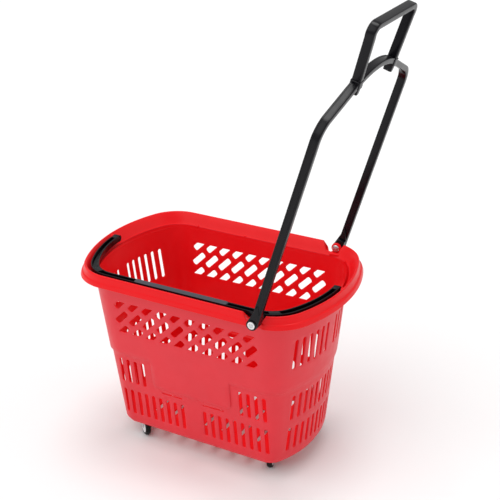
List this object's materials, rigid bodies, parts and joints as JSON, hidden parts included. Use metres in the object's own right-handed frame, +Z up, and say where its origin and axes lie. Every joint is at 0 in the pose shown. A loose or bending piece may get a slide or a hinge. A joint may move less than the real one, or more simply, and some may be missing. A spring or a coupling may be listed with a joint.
{
  "type": "rolling basket trolley",
  "caption": "Tapered plastic shopping basket on swivel casters, with slotted walls, a folding carry handle and a long pull handle that folds over the rim.",
  "frame": {"origin": "on the floor, under the middle of the whole object with the pull handle raised", "axes": "+Z up, +X along the basket towards the pull handle's end, +Y across it to the left"},
  "size_m": [0.636, 0.3914, 0.9365],
  "materials": {
    "basket_red": "satin moulded polypropylene",
    "handle_black": "satin moulded plastic",
    "grip_grey": "matt overmoulded grip",
    "steel": "zinc plated",
    "washer": "pale smooth plastic",
    "bush": "smooth",
    "bracket": "satin",
    "hub": "smooth moulded",
    "tyre": "matt"
  },
  "bodies": {
    "basket": {"basket_shell": "basket_red", "caster_bush_front_right": "bush", "caster_bush_front_left": "bush", "caster_bush_rear_right": "bush", "caster_bush_rear_left": "bush"},
    "carry_handle": {"carry_handle": "handle_black", "carry_grip": "grip_grey"},
    "pull_handle": {"pull_handle_frame": "handle_black", "pull_grip_loop": "handle_black", "pull_pin_right": "steel", "pull_pin_left": "steel", "pull_washer_right": "washer", "pull_washer_left": "washer"},
    "caster_front_right": {"caster_bracket_front_right": "bracket", "caster_axle_front_right": "steel"},
    "wheel_front_right": {"wheel_hub_front_right": "hub", "wheel_tyre_front_right": "tyre"},
    "caster_front_left": {"caster_bracket_front_left": "bracket", "caster_axle_front_left": "steel"},
    "wheel_front_left": {"wheel_hub_front_left": "hub", "wheel_tyre_front_left": "tyre"},
    "caster_rear_right": {"caster_bracket_rear_right": "bracket", "caster_axle_rear_right": "steel"},
    "wheel_rear_right": {"wheel_hub_rear_right": "hub", "wheel_tyre_rear_right": "tyre"},
    "caster_rear_left": {"caster_bracket_rear_left": "bracket", "caster_axle_rear_left": "steel"},
    "wheel_rear_left": {"wheel_hub_rear_left": "hub", "wheel_tyre_rear_left": "tyre"}
  },
  "joints": [
    {"name": "pull_handle_hinge", "type": "hinge", "parent": "basket", "child": "pull_handle", "pos_m": [0.13464, 0, 0.3915], "axis": [0, 1, 0], "range_deg": [-104, 0]},
    {"name": "carry_handle_hinge", "type": "hinge", "parent": "basket", "child": "carry_handle", "pos_m": [-0.03896, 0, 0.394], "axis": [-1, 0, 0], "range_deg": [0, 180]},
    {"name": "swivel_front_right", "type": "hinge", "parent": "basket", "child": "caster_front_right", "pos_m": [0.11304, -0.09, 0.044], "axis": [0, 0, 1], "continuous": true},
    {"name": "swivel_front_left", "type": "hinge", "parent": "basket", "child": "caster_front_left", "pos_m": [0.11304, 0.09, 0.044], "axis": [0, 0, 1], "continuous": true},
    {"name": "swivel_rear_right", "type": "hinge", "parent": "basket", "child": "caster_rear_right", "pos_m": [-0.19096, -0.09, 0.044], "axis": [0, 0, 1], "continuous": true},
    {"name": "swivel_rear_left", "type": "hinge", "parent": "basket", "child": "caster_rear_left", "pos_m": [-0.19096, 0.09, 0.044], "axis": [0, 0, 1], "continuous": true},
    {"name": "roll_front_right", "type": "hinge", "parent": "caster_front_right", "child": "wheel_front_right", "pos_m": [0.10919, -0.07654, 0.02], "axis": [-0.9613, -0.2756, 0], "continuous": true},
    {"name": "roll_front_left", "type": "hinge", "parent": "caster_front_left", "child": "wheel_front_left", "pos_m": [0.10919, 0.07654, 0.02], "axis": [0.9613, -0.2756, 0], "continuous": true},
    {"name": "roll_rear_right", "type": "hinge", "parent": "caster_rear_right", "child": "wheel_rear_right", "pos_m": [-0.17977, -0.09842, 0.02], "axis": [0.6018, 0.7986, 0], "continuous": true},
    {"name": "roll_rear_left", "type": "hinge", "parent": "caster_rear_left", "child": "wheel_rear_left", "pos_m": [-0.17977, 0.09842, 0.02], "axis": [-0.6018, 0.7986, 0], "continuous": true}
  ]
}
